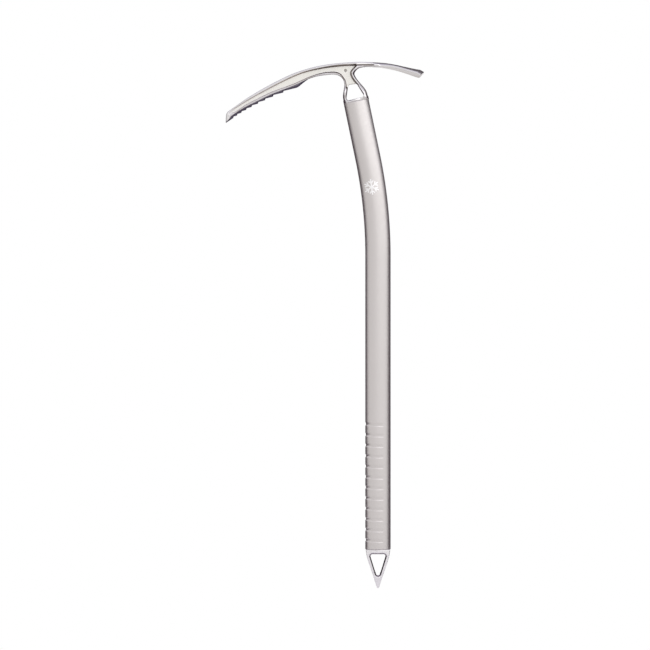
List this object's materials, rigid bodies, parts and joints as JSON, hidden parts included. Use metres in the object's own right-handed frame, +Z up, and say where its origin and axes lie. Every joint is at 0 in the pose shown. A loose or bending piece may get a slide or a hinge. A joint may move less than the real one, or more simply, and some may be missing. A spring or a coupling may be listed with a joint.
{
  "type": "ice axe",
  "caption": "Straight-handled mountaineering ice axe: cast steel pick and adze head on a gently bent oval aluminium tube with grip grooves and a pierced steel spike.",
  "frame": {"origin": "the point of the spike, on the axis of the straight lower shaft", "axes": "+Z up along the straight lower shaft to the head, +X from the pick side to the adze side, Y across the shaft's narrow depth"},
  "size_m": [0.2261, 0.0474, 0.6002],
  "materials": {
    "cast_head_steel": "polished stainless casting, matte in its recesses",
    "anodised_tube": "bead-blasted and clear anodised",
    "cast_spike_steel": "satin polished stainless casting",
    "adhesive": "cured epoxy",
    "foam": "closed-cell foam"
  },
  "bodies": {
    "root": {"head": "cast_head_steel", "shaft": "anodised_tube", "spike": "cast_spike_steel", "head_bond": "adhesive", "spike_bond": "adhesive", "upper_foam_plug": "foam", "lower_foam_plug": "foam"}
  },
  "joints": []
}
